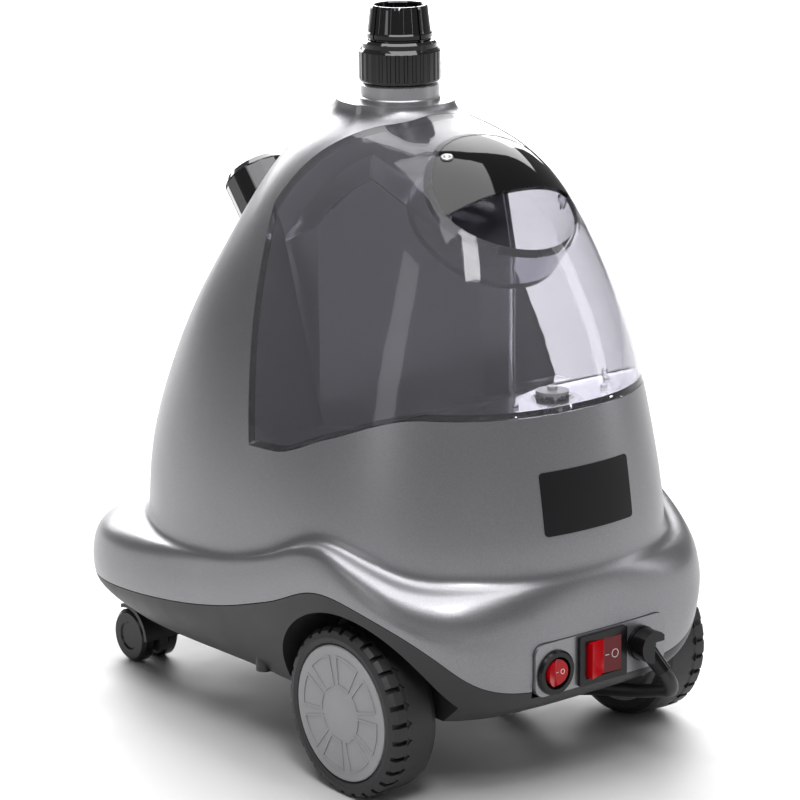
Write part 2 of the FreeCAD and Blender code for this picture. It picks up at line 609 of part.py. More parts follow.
def make_base():
    outer = form().common(below_parting(-PARTING_GAP / 2))
    well = cylinder(WELL_RADIUS, 80.0, V(WELL_INNER_X, WELL_Y, WHEEL_RADIUS), X_AXIS)
    walled = cylinder(WELL_RADIUS + WALL, 80.0, V(WELL_INNER_X - WALL, WELL_Y, WHEEL_RADIUS), X_AXIS)
    tray = outer.cut(form(WALL).cut(both_sides(walled)))
    saddle = block(-60, 60, AXLE_Y - 8, AXLE_Y + 8, BASE_BOTTOM, BASE_BOTTOM + 8)
    ear = cylinder(EAR_RADIUS, EAR_X1 - EAR_X0, axle_line + V(EAR_X0, 0, 0), X_AXIS).fuse(
        block(EAR_X0, EAR_X1, AXLE_Y - EAR_RADIUS, AXLE_Y + EAR_RADIUS, BASE_BOTTOM - 1, BASE_BOTTOM + 10))
    socket = cylinder(CASTER_STEM + 4.5, 20.0, V(CASTER_X, CASTER_Y, BASE_BOTTOM))
    posts = [cylinder(4.2, 12.0, V(x, y, BASE_BOTTOM)) for x, y in SCREW_SPOTS]
    tray = tray.fuse([saddle] + both_sides(ear) + both_sides(socket) + posts)
    panel_window = block(-PANEL_HALF, PANEL_HALF, -180, -140, PANEL_LOW - 0.3, PANEL_HIGH)
    tray = tray.cut(both_sides(well) + [panel_window])
    stem_hole = cylinder(CASTER_STEM + RUNNING_GAP, 18.0, V(CASTER_X, CASTER_Y, BASE_BOTTOM - 1))
    holes = both_sides(stem_hole) + [cylinder(1.9, 30.0, V(x, y, BASE_BOTTOM - 1)) for x, y in SCREW_SPOTS]
    holes += [cylinder(3.8, 3.5, V(x, y, BASE_BOTTOM - 1)) for x, y in SCREW_SPOTS]
    holes += [cylinder(AXLE_RADIUS + 1.2, 2 * EAR_X0, axle_line - V(EAR_X0, 0, 0), X_AXIS),
              cylinder(AXLE_RADIUS + RUNNING_GAP, 160.0, axle_line - V(80, 0, 0), X_AXIS)]
    return tray.cut(holes)


parts["base_tray"] = make_base()
screws = []
for x, y in SCREW_SPOTS:
    head = cylinder(3.5, 2.2, V(x, y, BASE_BOTTOM + 0.2)).cut(
        block(x - 2.4, x + 2.4, y - 0.4, y + 0.4, BASE_BOTTOM - 1, BASE_BOTTOM + 1.2)).cut(
        block(x - 0.4, x + 0.4, y - 2.4, y + 2.4, BASE_BOTTOM - 1, BASE_BOTTOM + 1.2))
    screws.append(head.fuse(cylinder(1.8, 14.0, V(x, y, BASE_BOTTOM + 2.2))))
parts["base_screws"] = Part.makeCompound(screws)

# ---------------------------------------------------------------- rear wheels
TYRE_DEPTH = 8.5
HUB_RADIUS = WHEEL_RADIUS - TYRE_DEPTH
HUB_CAP_THICKNESS = 2.2
LUGS = 30
HUB_BOSS = AXLE_RADIUS + 4.0
HUB_WEB_X = WHEEL_OUTER_X - 14.5     # inboard face of the hub's web
HUB_BOSS_X = WHEEL_OUTER_X - 8.7     # outboard end of the hub's boss
WHEEL_INNER_X = WHEEL_OUTER_X - WHEEL_WIDTH
AXLE_HALF = WHEEL_OUTER_X - 5.0
parts["rear_axle"] = cylinder(AXLE_RADIUS, 2 * AXLE_HALF, axle_line - V(AXLE_HALF, 0, 0), X_AXIS)


def at_wheel(profile_points):
    """Revolve radius and X pairs about the axle on the +X side."""
    return turned([(r, x) for r, x in profile_points], axle_line, X_AXIS)


def make_tyre():
    x0, x1, r = WHEEL_INNER_X, WHEEL_OUTER_X, WHEEL_RADIUS
    tyre = at_wheel([
        (HUB_RADIUS, x0 + 1.0), (r - 4.5, x0), (r - 1.6, x0 + 1.2), (r - 0.6, x0 + 4.0), (r - 0.4, x1 - 10.0),
        (r, x1 - 8.5), (r, x1 - 3.0), (r - 1.6, x1 - 1.0), (r - 5.0, x1), (HUB_RADIUS + 1.0, x1 - 0.4),
        (HUB_RADIUS, x1 - 1.4)])
    notch = block(x1 - 8.0, x1 + 1, -1.3, 1.3, r - 2.6, r + 2)
    near, tip, depth = x1 - 8.2, x1 - 11.5, r - 1.2
    corners = [V(near, -2.6, depth), V(tip, 0, depth), V(near, 2.6, depth)]
    bite = Part.Face(Part.makePolygon(corners + corners[:1])).extrude(V(0, 0, 4))
    cut = notch.fuse(bite)
    cut.translate(V(0, AXLE_Y, WHEEL_RADIUS))
    return tyre.cut(repeated(cut, LUGS, axle_line, X_AXIS))


def make_hub():
    """Dished hub: boss on the axle, web and a rim that carries the tyre and the cap."""
    x0, x1, bore = WHEEL_INNER_X, WHEEL_OUTER_X - HUB_CAP_THICKNESS - 0.1, AXLE_RADIUS + RUNNING_GAP
    inside = HUB_RADIUS - 3.0
    return at_wheel([
        (bore, x0 - 2.0), (HUB_BOSS, x0 - 2.0), (HUB_BOSS, HUB_WEB_X), (inside, HUB_WEB_X),
        (inside, x0 + 1.0), (HUB_RADIUS, x0 + 1.0), (HUB_RADIUS, x1), (inside, x1),
        (inside, HUB_WEB_X + 3.0), (HUB_BOSS, HUB_WEB_X + 3.0),
        (HUB_BOSS, HUB_BOSS_X), (bore, HUB_BOSS_X)])


def wedge_outline(width):
    """One raised outline of the hub cap's eight windows, in the cap's plane."""
    inner, outer, half = 14.0, HUB_RADIUS - 5.1, math.radians(17.5)

    def loop(shrink):
        points = []
        r0, r1 = inner + shrink, outer - shrink
        for r, sign in ((r0, -1), (r1, -1), (r1, 1), (r0, 1)):
            angle = sign * (half - shrink / r)
            points.append(V(r * math.cos(angle), r * math.sin(angle), 0))
        mid = [V(r1, 0, 0), V(r0, 0, 0)]
        edges = [Part.makeLine(points[0], points[1]), Part.Arc(points[1], mid[0], points[2]).toShape(),
                 Part.makeLine(points[2], points[3]), Part.Arc(points[3], mid[1], points[0]).toShape()]
        return Part.Face(Part.Wire(edges))

    return loop(0.0).extrude(V(0, 0, 1.0)).cut(loop(width).extrude(V(0, 0, 1.0)))


def make_hub_cap():
    cap = turned([
        (0, -HUB_CAP_THICKNESS), (HUB_RADIUS - 0.2, -HUB_CAP_THICKNESS), (HUB_RADIUS - 0.2, -0.5),
        (HUB_RADIUS - 0.8, 0), (0, 0)])
    outline = wedge_outline(0.8)
    outline.translate(V(0, 0, -0.5))
    cap = cap.fuse(repeated(outline, 8, V(0, 0, 0), Z_AXIS, 12))
    cap.Placement = FreeCAD.Placement(axle_line + V(WHEEL_OUTER_X, 0, 0), FreeCAD.Rotation(Z_AXIS, X_AXIS))
    return cap


wheel_parts = {"tyre": make_tyre(), "hub": make_hub(), "hub_cap": make_hub_cap()}
clip = ring(AXLE_RADIUS + 3.0, AXLE_RADIUS, 1.2, axle_line + V(HUB_BOSS_X + 0.4, 0, 0), X_AXIS)
parts["axle_clips"] = Part.makeCompound(both_sides(clip))
for name, shape in wheel_parts.items():
    parts[name + "_right"] = shape
    parts[name + "_left"] = mirrored(shape)

# ---------------------------------------------------------------- front casters
HOOD_HALF = 3.0
PLATE_Z = BASE_BOTTOM - 11.0
PIN = 2.0                   # caster axle radius


def make_caster_yoke():
    wheel_centre = V(CASTER_X, CASTER_Y + CASTER_TRAIL, CASTER_RADIUS)
    stem = cylinder(CASTER_STEM, 25.0, V(CASTER_X, CASTER_Y, PLATE_Z))
    plate = cylinder(CASTER_STEM + 5.0, 4.0, V(CASTER_X, CASTER_Y, PLATE_Z))
    hood = cylinder(CASTER_RADIUS + 3.4, 25.0, wheel_centre - V(12.5, 0, 0), X_AXIS).cut(
        cylinder(CASTER_RADIUS + 1.2, 30.0, wheel_centre - V(15, 0, 0), X_AXIS))
    keep = block(CASTER_X - 20, CASTER_X + 20, CASTER_Y - 22, wheel_centre.y + 6, CASTER_RADIUS + 1,
                 PLATE_Z + 7.0)
    hood = hood.common(keep)
    web = block(
        CASTER_X - HOOD_HALF, CASTER_X + HOOD_HALF, CASTER_Y - 8, wheel_centre.y + 5, 8.0,
        PLATE_Z + 1.0).common(
        cylinder(CASTER_RADIUS + 2.5, 30.0, wheel_centre - V(15, 0, 0), X_AXIS))
    yoke = hood.fuse([plate, stem, web])
    return yoke.cut(cylinder(PIN + RUNNING_GAP, 40.0, wheel_centre - V(20, 0, 0), X_AXIS))


def make_caster_wheels():
    centre = V(CASTER_X, CASTER_Y + CASTER_TRAIL, CASTER_RADIUS)
    r = CASTER_RADIUS
    disc = [(0, 3.5), (r - 1.5, 3.5), (r, 5.0), (r, 10.2), (r - 2.0, 12.0), (8.0, 12.0), (7.0, 11.2),
            (0, 11.2)]
    right = turned(disc, centre, X_AXIS)
    left = turned([(a, -b) for a, b in disc], centre, X_AXIS)
    return right.fuse([left, cylinder(PIN, 10.0, centre - V(5, 0, 0), X_AXIS)])


for name, shape in (("caster_yoke", make_caster_yoke()), ("caster_wheels", make_caster_wheels())):
    parts[name + "_right"] = shape
    parts[name + "_left"] = mirrored(shape)

# ---------------------------------------------------------------- switch panel
SWITCH_HALF_W, SWITCH_HALF_H = 13.8, 10.4    # the snapped-in body of the large switch
SWITCH_WALL_W, SWITCH_WALL_H = 2.2, 1.0
BEZEL_HALF_W, BEZEL_HALF_H = SWITCH_HALF_W + 1.7, SWITCH_HALF_H + 2.35
BEZEL_T = 2.0
ROCKER_GAP_W, ROCKER_GAP_H = 0.9, 0.3
ROCKER_PIN = 1.5
ROUND_X, ROUND_Z = -30.0, 68.0
ROUND_BODY = 9.9
ROUND_BEZEL = ROUND_BODY + 1.5
ROUND_BORE = ROUND_BODY - 1.7
ROUND_GAP = 1.4                     # round the small rocker, so that it can tilt
GLAND_X, GLAND_Z = 26.0, 71.0
GLAND_SHANK = 6.0
ROCKER_TILT = 7.0


def make_panel():
    plate = rounded_block(-PANEL_HALF + 0.3, PANEL_HALF - 0.3, PANEL_FACE, PANEL_BACK,
                          PANEL_LOW, PANEL_HIGH - 0.3, 5.7, "y")
    return plate.cut([
        block(-SWITCH_HALF_W - 0.2, SWITCH_HALF_W + 0.2, -180, -140,
              SWITCH_HEIGHT - SWITCH_HALF_H - 0.2, SWITCH_HEIGHT + SWITCH_HALF_H + 0.2),
        cylinder(ROUND_BODY + FIT_GAP, 40, V(ROUND_X, -180, ROUND_Z), Y_AXIS),
        cylinder(GLAND_SHANK + FIT_GAP, 40, V(GLAND_X, -180, GLAND_Z), Y_AXIS)])


def make_power_switch():
    face = PANEL_FACE - BEZEL_T
    low, high = SWITCH_HEIGHT - SWITCH_HALF_H, SWITCH_HEIGHT + SWITCH_HALF_H
    cavity = SWITCH_HALF_W - SWITCH_WALL_W
    body = rounded_block(-BEZEL_HALF_W, BEZEL_HALF_W, face, PANEL_FACE, SWITCH_HEIGHT - BEZEL_HALF_H,
                         SWITCH_HEIGHT + BEZEL_HALF_H, 1.2, "y")
    body = body.fuse(block(-SWITCH_HALF_W, SWITCH_HALF_W, PANEL_FACE, PANEL_FACE + 24, low, high))
    return body.cut([
        block(-cavity, cavity, face - 1, PANEL_FACE + 11, low + SWITCH_WALL_H, high - SWITCH_WALL_H),
        pivot_pin(rocker_pivot, SWITCH_HALF_H + 1.0, RUNNING_GAP)])


def pivot_pin(pivot, half, grow=0.0):
    return cylinder(ROCKER_PIN + grow, 2 * half, pivot - V(0, 0, half))


def make_rocker(half, height, pivot, crown):
    """Rocker with a shallow V face, turning about an upright pin and pressed in on its -X side."""
    y = pivot.y
    outline = [(-half, y - crown), (0, y - crown + 2.2), (half, y - crown), (half - 0.8, y + 1.5),
               (4.5, y + 5.0), (-4.5, y + 5.0), (-half + 0.8, y + 1.5)]
    points = [V(x + pivot.x, yy, pivot.z - height) for x, yy in outline]
    solid = Part.Face(Part.makePolygon(points + points[:1])).extrude(V(0, 0, 2 * height))
    solid.rotate(pivot, Z_AXIS, ROCKER_TILT)
    return solid


rocker_pivot = V(0, PANEL_FACE + 3.0, SWITCH_HEIGHT)
aux_pivot = V(ROUND_X, PANEL_FACE + 2.5, ROUND_Z)


parts["control_panel"] = make_panel()
parts["power_switch_body"] = make_power_switch()
parts["power_rocker"] = make_rocker(
    SWITCH_HALF_W - SWITCH_WALL_W - ROCKER_GAP_W, SWITCH_HALF_H - SWITCH_WALL_H - ROCKER_GAP_H,
    rocker_pivot, 6.5).fuse(pivot_pin(rocker_pivot, SWITCH_HALF_H - 0.2))

round_face = PANEL_FACE - 2.0
parts["aux_switch_body"] = turned([
    (ROUND_BORE, 0), (ROUND_BEZEL - 1.0, 0), (ROUND_BEZEL, -1.0), (ROUND_BEZEL, -2.0), (ROUND_BODY, -2.0),
    (ROUND_BODY, -20.0), (0, -20.0), (0, -12.0), (ROUND_BORE, -12.0)],
    V(ROUND_X, round_face, ROUND_Z), V(0, -1, 0)).cut(pivot_pin(aux_pivot, ROUND_BODY - 0.4, RUNNING_GAP))
aux = make_rocker(ROUND_BORE - 0.6, ROUND_BORE, aux_pivot, 5.4)
parts["aux_rocker"] = aux.common(
    cylinder(ROUND_BORE - ROUND_GAP, 20.0, V(ROUND_X, PANEL_FACE - 10, ROUND_Z), Y_AXIS)).fuse(
    pivot_pin(aux_pivot, ROUND_BODY - 0.6))


SLEEVE_LENGTH = 20.0
sleeve_root = V(GLAND_X - 1.5, PANEL_FACE - 1.5, GLAND_Z + 2.0)
sleeve_heading = V(0.42, -0.42, -0.80).normalize()
sleeve_tip = sleeve_root + sleeve_heading * SLEEVE_LENGTH


def make_gland():
    """Strain relief: round flange, D-shaped head and a tapered sleeve around the cord."""
    flange = cylinder(8.8, 2.0, V(GLAND_X, PANEL_FACE - 2.0, GLAND_Z), Y_AXIS)
    flat = block(GLAND_X + 6.3, GLAND_X + 12, PANEL_FACE - 12, PANEL_FACE - 2, GLAND_Z - 10, GLAND_Z + 10)
    notch = block(GLAND_X, GLAND_X + 12, PANEL_FACE - 12, PANEL_FACE - 5, GLAND_Z - 12, GLAND_Z + 2.6)
    head = cylinder(8.3, 9.0, V(GLAND_X, PANEL_FACE - 11.0, GLAND_Z), Y_AXIS).cut([flat, notch])
    shank = cylinder(GLAND_SHANK, 14.0, V(GLAND_X, PANEL_FACE, GLAND_Z), Y_AXIS)
    sleeve = turned([(0, 0), (CORD_RADIUS + 1.2, 0), (CORD_RADIUS + 0.5, SLEEVE_LENGTH), (0, SLEEVE_LENGTH)],
                    sleeve_root, sleeve_heading)
    return flange.fuse([head, shank, sleeve])


parts["cord_gland"] = make_gland()

# ---------------------------------------------------------------- steam maker inside the housing
BOILER_HALF, BOILER_Y0, BOILER_Y1 = 48.0, 12.0, 116.0
BOILER_LOW, BOILER_HIGH = 62.0, 104.0
BOILER_WALL = 8.0
INLET_Z = 84.0
NIPPLE_LENGTH = 10.0
GASKET = 1.0
LID = 8.0
ELEMENT_RADIUS, ELEMENT_HALF, ELEMENT_Z, ELEMENT_Y1 = 4.0, 22.0, 67.5, 84.0
FLOOR_TOP = BASE_BOTTOM + WALL
boiler_corners = [(x, y) for x in (-BOILER_HALF + 12, BOILER_HALF - 12)
                  for y in (BOILER_Y0 + 12, BOILER_Y1 - 12)]
lid_screw_spots = [(x, y) for x in (-BOILER_HALF + 4.5, BOILER_HALF - 4.5)
                   for y in (BOILER_Y0 + 18, BOILER_Y1 - 18)]


def u_tube(radius):
    legs = [cylinder(radius, ELEMENT_Y1 + 6.0, V(x, -6.0, ELEMENT_Z), Y_AXIS)
            for x in (-ELEMENT_HALF, ELEMENT_HALF)]
    bend = Part.makeTorus(ELEMENT_HALF, radius, V(0, ELEMENT_Y1, ELEMENT_Z), Z_AXIS).common(
        block(-60, 60, ELEMENT_Y1, ELEMENT_Y1 + 60, 0, 200))
    return legs[0].fuse([legs[1], bend])


def make_boiler():
    body = rounded_block(-BOILER_HALF, BOILER_HALF, BOILER_Y0, BOILER_Y1, BOILER_LOW, BOILER_HIGH, 14.0, "z")
    room = rounded_block(-BOILER_HALF + BOILER_WALL, BOILER_HALF - BOILER_WALL, BOILER_Y0 + BOILER_WALL,
                         BOILER_Y1 - BOILER_WALL, BOILER_LOW + 14.0, BOILER_HIGH + 1, 8.0, "z")
    inlet = cylinder(NIPPLE_RADIUS, NIPPLE_LENGTH + 2.0, V(0, BOILER_Y0 - NIPPLE_LENGTH, INLET_Z), Y_AXIS)
    body = body.fuse(inlet).cut([room, cylinder(NIPPLE_BORE, NIPPLE_LENGTH + 12.0,
                                          V(0, BOILER_Y0 - NIPPLE_LENGTH - 1.0, INLET_Z), Y_AXIS)])
    return body.cut([u_tube(ELEMENT_RADIUS + 0.02)] + [
        cylinder(1.6, 12.0, V(x, y, BOILER_HIGH - 11)) for x, y in lid_screw_spots])


LID_LOW = BOILER_HIGH + GASKET
STEAM_Y = 68.4              # the lid's nozzle stands below the outlet's line
parts["boiler_body"] = make_boiler()
parts["heating_element"] = u_tube(ELEMENT_RADIUS)
plate = rounded_block(-BOILER_HALF, BOILER_HALF, BOILER_Y0, BOILER_Y1, BOILER_HIGH, LID_LOW, 14.0, "z")
parts["boiler_gasket"] = plate.cut([
    rounded_block(-BOILER_HALF + BOILER_WALL, BOILER_HALF - BOILER_WALL, BOILER_Y0 + BOILER_WALL,
                  BOILER_Y1 - BOILER_WALL, 0, 200, 8.0, "z")] + [
    cylinder(1.8, 20.0, V(x, y, BOILER_HIGH - 5)) for x, y in lid_screw_spots])
lid = rounded_block(-BOILER_HALF, BOILER_HALF, BOILER_Y0, BOILER_Y1, LID_LOW, LID_LOW + LID, 14.0, "z").fuse(
    cylinder(PIPE_RADIUS, 20.0, V(0, STEAM_Y, LID_LOW)))
parts["boiler_lid"] = lid.cut([cylinder(PIPE_BORE, 40.0, V(0, STEAM_Y, LID_LOW - 10))] + [
    cylinder(1.8, 20.0, V(x, y, LID_LOW - 5)) for x, y in lid_screw_spots])
parts["boiler_lid_screws"] = Part.makeCompound([
    cylinder(3.2, 2.4, V(x, y, LID_LOW + LID)).fuse(cylinder(1.55, LID + 10.0, V(x, y, LID_LOW - 10.0)))
    for x, y in lid_screw_spots])
parts["boiler_posts"] = Part.makeCompound([
    cylinder(4.5, BOILER_LOW - FLOOR_TOP, V(x, y, FLOOR_TOP)) for x, y in boiler_corners])
parts["thermostat"] = cylinder(9.0, 6.0, V(26, 44, LID_LOW + LID)).fuse(
    cylinder(6.0, 4.0, V(26, 44, LID_LOW + LID + 5.0)))
parts["thermal_fuse"] = rounded_block(-34, -18, 38, 50, LID_LOW + LID, LID_LOW + LID + 5.0, 2.0, "z")
steam_start = V(0, STEAM_Y, LID_LOW + 20.0)
steam_end = at_outlet(SPIGOT_FOOT + PIPE_ENTRY - 0.3)
steam_knee = V(0, STEAM_Y, steam_end.z - (steam_end.y - STEAM_Y) / math.tan(lean))
parts["steam_pipe"] = pipe([steam_start, steam_knee, steam_end], PIPE_RADIUS, "steam_pipe", PIPE_BORE)
hose_bore = NIPPLE_RADIUS + RUNNING_GAP
parts["water_hose"] = pipe([
    at_valve(NIPPLE_END + HOSE_OVERLAP), at_valve(126), V(0, -92, 98), V(0, -52, INLET_Z),
    V(0, BOILER_Y0 - NIPPLE_LENGTH + HOSE_OVERLAP, INLET_Z)], hose_bore + HOSE_WALL, "water_hose", hose_bore)
parts["terminal_block"] = rounded_block(-20, 20, -118, -104, FLOOR_TOP, FLOOR_TOP + 14, 2.0, "x").cut([
    cylinder(2.2, 10.0, V(x, -111, FLOOR_TOP + 8)) for x in (-13, 0, 13)])

# ---------------------------------------------------------------- power cord, coil, tie and plug
LEAD_Z = CORD_RADIUS         # centre line of the lead where it lies on the floor
cord_route = [
    sleeve_tip, V(34.5, -165.9, 54.0), V(36.6, -166.0, 50.1), V(38.7, -164.3, 46.5),
    V(40.3, -161.0, 43.9), V(42.2, -152.1, 41.4), V(43.5, -136.0, 36.0), V(46.0, -112.0, 30.0),
    V(47.5, -84.0, 22.4), V(48.0, -54.0, 13.0), V(46.5, -22.0, 5.4), V(41.0, 13.0, LEAD_Z),
    V(32.0, 46.0, LEAD_Z), V(22.0, 78.0, LEAD_Z), V(14.5, 110.0, LEAD_Z), V(12.0, 143.0, LEAD_Z),
    V(16.0, 176.0, LEAD_Z), V(26.5, 207.0, LEAD_Z), V(31.0, 233.0, COIL_LOW + CORD_RADIUS)]
parts["power_cord"] = pipe(cord_route, CORD_RADIUS, "power_cord")
round_edge = 3.0
parts["cord_coil"] = turned([
    (COIL_INNER + round_edge, COIL_LOW), (COIL_OUTER - round_edge, COIL_LOW),
    (COIL_OUTER, COIL_LOW + round_edge),
    (COIL_OUTER, COIL_HIGH - round_edge), (COIL_OUTER - round_edge, COIL_HIGH),
    (COIL_INNER + round_edge, COIL_HIGH), (COIL_INNER, COIL_HIGH - round_edge),
    (COIL_INNER, COIL_LOW + round_edge)], V(COIL_X, COIL_Y, 0))
tie_near, tie_far = COIL_Y + COIL_INNER, COIL_Y + COIL_OUTER
TIE_GAP, TIE_THICKNESS, TIE_HALF = 0.05, 0.9, 4.0
TIE_BULGE = 0.4             # slack of the straight tie inside the coil's curved hole
tie_outside = rounded_block(COIL_X - TIE_HALF, COIL_X + TIE_HALF, tie_near - TIE_BULGE - TIE_THICKNESS,
                            tie_far + TIE_THICKNESS, 0.0, COIL_HIGH + TIE_THICKNESS, 3.0, "x")
parts["cord_tie"] = tie_outside.cut(rounded_block(
    COIL_X - TIE_HALF - 1, COIL_X + TIE_HALF + 1, tie_near - TIE_BULGE, tie_far + TIE_GAP,
    COIL_LOW - TIE_GAP, COIL_HIGH + TIE_GAP, 2.2, "x"))
PLUG_X = COIL_X + COIL_TURN_RADIUS
PLUG_Y = COIL_Y - PLUG_OFFSET
SLEEVE_Z = COIL_HIGH - CORD_RADIUS - 0.4


def make_plug():
    """Flat round mains plug that lies on its back, with its cord sleeve at the side."""
    body = turned([
        (0, 0), (PLUG_RADIUS - 3.0, 0), (PLUG_RADIUS, 3.0), (PLUG_RADIUS, PLUG_TOP - 8.0),
        (PLUG_RADIUS - 0.8, PLUG_TOP - 7.2), (PLUG_RADIUS - 0.8, PLUG_TOP - 1.0),
        (PLUG_RADIUS - 1.8, PLUG_TOP),
        (0, PLUG_TOP)], V(PLUG_X, PLUG_Y, 0))
    sleeve = turned([(0, 0), (8.0, 0), (7.0, 8.0), (5.2, 27.0), (0, 27.0)],
                    V(PLUG_X, PLUG_Y + PLUG_RADIUS - 2.0, SLEEVE_Z), Y_AXIS)
    slot = block(PLUG_X - 2.5, PLUG_X + 2.5, PLUG_Y - 30, PLUG_Y - PLUG_RADIUS + 2.0, 6, PLUG_TOP + 1)
    return body.fuse(sleeve).cut(slot)


parts["plug_body"] = make_plug()
pin_profile = [(0, 0), (PIN_RADIUS, 0), (PIN_RADIUS, PIN_LENGTH - 1.6), (PIN_RADIUS - 1.0, PIN_LENGTH),
               (0, PIN_LENGTH)]
parts["plug_pins"] = Part.makeCompound([
    turned(pin_profile, V(PLUG_X + side, PLUG_Y, PLUG_TOP)) for side in (-PIN_HALF_PITCH, PIN_HALF_PITCH)])

# ---------------------------------------------------------------- label plate
parts["label_plate"] = form(-0.5).cut(form(0.0)).common(
    rounded_block(-28.5, 28.5, -190, -100, 134.0, 165.0, 2.0, "y"))

os.makedirs("parts", exist_ok=True)
for name, shape in parts.items():
    shape.translate(V(0, -ORIGIN_Y, 0))
    print(name, shape.isValid(), len(shape.Solids), round(shape.Volume))
    shape.exportStep("parts/%s.step" % name)
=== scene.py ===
import json
import math

import bmesh
import bpy
from mathutils import Matrix, Vector


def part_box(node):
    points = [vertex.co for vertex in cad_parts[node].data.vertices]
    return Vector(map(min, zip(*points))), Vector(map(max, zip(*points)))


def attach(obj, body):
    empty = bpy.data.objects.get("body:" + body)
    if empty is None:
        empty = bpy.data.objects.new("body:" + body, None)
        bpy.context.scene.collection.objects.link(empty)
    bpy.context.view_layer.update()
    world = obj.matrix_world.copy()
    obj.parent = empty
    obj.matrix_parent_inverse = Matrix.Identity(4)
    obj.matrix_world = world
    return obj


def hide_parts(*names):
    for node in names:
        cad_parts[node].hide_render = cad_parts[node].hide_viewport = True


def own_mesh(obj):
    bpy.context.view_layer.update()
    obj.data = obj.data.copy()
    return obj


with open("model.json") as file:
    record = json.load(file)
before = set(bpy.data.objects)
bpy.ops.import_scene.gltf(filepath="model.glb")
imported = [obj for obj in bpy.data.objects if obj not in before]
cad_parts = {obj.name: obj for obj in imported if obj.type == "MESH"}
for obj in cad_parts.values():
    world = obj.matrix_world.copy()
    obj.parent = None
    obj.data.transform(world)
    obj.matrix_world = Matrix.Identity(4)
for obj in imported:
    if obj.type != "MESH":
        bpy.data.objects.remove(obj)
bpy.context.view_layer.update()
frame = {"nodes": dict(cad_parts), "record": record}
nodes = frame["nodes"]


# ---------------------------------------------------------------- camera
# Seen from behind and to the left, a little above, through a long lens.
camera_data = bpy.data.cameras.new("camera")
camera_data.lens = 144.98
camera_data.sensor_width = 36.0
camera_data.clip_start, camera_data.clip_end = 0.1, 20.0
camera = bpy.data.objects.new("camera", camera_data)
bpy.context.scene.collection.objects.link(camera)
TURN, RISE, ROLL = math.radians(38.68), math.radians(14.76), math.radians(-0.5)
ahead = Vector((math.sin(TURN) * math.cos(RISE), math.cos(TURN) * math.cos(RISE), -math.sin(RISE)))
level = Vector((math.cos(TURN), -math.sin(TURN), 0.0))
upright = level.cross(ahead)
right = math.cos(ROLL) * level + math.sin(ROLL) * upright
up = math.cos(ROLL) * upright - math.sin(ROLL) * level
camera.matrix_world = Matrix((right, up, -ahead)).transposed().to_4x4()
camera.location = (-1.0136, -1.2793, 0.5958)
bpy.context.scene.camera = camera


# ---------------------------------------------------------------- small helpers
def add_object(name, data, body):
    obj = bpy.data.objects.new(name, data)
    bpy.context.scene.collection.objects.link(obj)
    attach(obj, body)
    return obj


def bridge(bm, first, second, closed=True):
    """Faces between two rows of vertices that run side by side."""
    count = len(first) if closed else len(first) - 1
    for k in range(count):
        after = (k + 1) % len(first)
        bm.faces.new((first[k], first[after], second[after], second[k]))


def mesh_piece(name, bm, body, finish, smooth=False):
    """A piece from a closed mesh: it rides a body and takes a record slot's finish."""
    for face in bm.faces:
        face.smooth = smooth
    mesh = bpy.data.meshes.new(name)
    bm.normal_update()
    bm.to_mesh(mesh)
    bm.free()
    obj = add_object(name, mesh, body)
    obj.data.materials.append(finishes[finish])
    return obj


# ---------------------------------------------------------------- materials
def new_material(name, color, roughness, metallic=0.0, **sockets):
    """A plain shader to build on: returns the material, its node tree and its shader."""
    material = bpy.data.materials.new(name)
    material.use_nodes = True
    tree = material.node_tree
    shader = tree.nodes["Principled BSDF"]
    shader.inputs["Base Color"].default_value = (*color, 1.0)
    shader.inputs["Roughness"].default_value = roughness
    shader.inputs["Metallic"].default_value = metallic
    for socket, value in sockets.items():
        shader.inputs[socket.replace("_", " ")].default_value = value
    return material, tree, shader


def noise(tree, scale, detail=3.0, stretch=(1, 1, 1)):
    """Noise in the object's own coordinates, scale in cycles per metre."""
    place = tree.nodes.new("ShaderNodeTexCoord")
    mapping = tree.nodes.new("ShaderNodeMapping")
    mapping.inputs["Scale"].default_value = stretch
    texture = tree.nodes.new("ShaderNodeTexNoise")
    texture.inputs["Scale"].default_value = scale
    texture.inputs["Detail"].default_value = detail
    tree.links.new(place.outputs["Object"], mapping.inputs["Vector"])
    tree.links.new(mapping.outputs["Vector"], texture.inputs["Vector"])
    return texture


def vary(tree, texture, socket, low, high):
    """Drive a number socket of the shader from a texture, between two values."""
    span = tree.nodes.new("ShaderNodeMapRange")
    span.inputs["From Min"].default_value = 0.3
    span.inputs["From Max"].default_value = 0.7
    span.inputs["To Min"].default_value = low
    span.inputs["To Max"].default_value = high
    tree.links.new(texture.outputs["Fac"], span.inputs["Value"])
    tree.links.new(span.outputs["Result"], socket)


def vary_color(tree, texture, socket, dark, light):
    ramp = tree.nodes.new("ShaderNodeValToRGB")
    ramp.color_ramp.elements[0].position = 0.3
    ramp.color_ramp.elements[0].color = (*dark, 1.0)
    ramp.color_ramp.elements[1].position = 0.7
    ramp.color_ramp.elements[1].color = (*light, 1.0)
    tree.links.new(texture.outputs["Fac"], ramp.inputs["Fac"])
    tree.links.new(ramp.outputs["Color"], socket)


def bump(tree, texture, shader, strength, distance):
    node = tree.nodes.new("ShaderNodeBump")
    node.inputs["Strength"].default_value = strength
    node.inputs["Distance"].default_value = distance
    tree.links.new(texture.outputs["Fac"], node.inputs["Height"])
    tree.links.new(node.outputs["Normal"], shader.inputs["Normal"])


def shade(color, factor):
    return tuple(channel * factor for channel in color)


